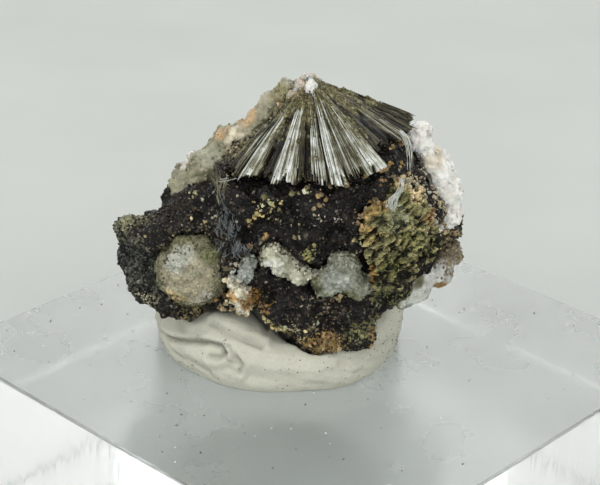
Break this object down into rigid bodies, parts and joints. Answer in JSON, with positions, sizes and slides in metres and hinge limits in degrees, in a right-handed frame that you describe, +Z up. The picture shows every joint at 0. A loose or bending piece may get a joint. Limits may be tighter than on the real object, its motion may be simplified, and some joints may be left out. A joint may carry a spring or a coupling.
{
  "type": "ferrierite specimen",
  "caption": "Dark cavity-filled basalt with a radiating fan of silky ferrierite needles and chalcedony crusts, held by white putty on a clear acrylic display block.",
  "frame": {"origin": "centre of the display block's underside", "axes": "+Z up, -Y towards the specimen's best face, +X to that face's right"},
  "size_m": [0.0446, 0.0446, 0.0298],
  "materials": {
    "acrylic": "polished cast acrylic",
    "putty": "hand-pressed matt putty",
    "basalt": "broken, vuggy and granular",
    "ferrierite": "silky parallel needles",
    "druse": "translucent botryoidal crust",
    "chalcedony": "waxy and translucent",
    "quartz": "sugary crystal druse",
    "clay": "pitted earthy crust",
    "calcite": "granular with rusty stains"
  },
  "bodies": {
    "root": {"display_block": "acrylic", "mounting_putty": "putty", "basalt_matrix": "basalt", "ferrierite_spray": "ferrierite", "drusy_crust": "druse", "chalcedony_nodule": "chalcedony", "seam_bleb_left": "chalcedony", "seam_bleb_middle": "chalcedony", "seam_bleb_right": "chalcedony", "quartz_druse": "quartz", "clay_crust": "clay", "chalcedony_lobes": "chalcedony", "calcite_rib": "calcite"}
  },
  "joints": []
}
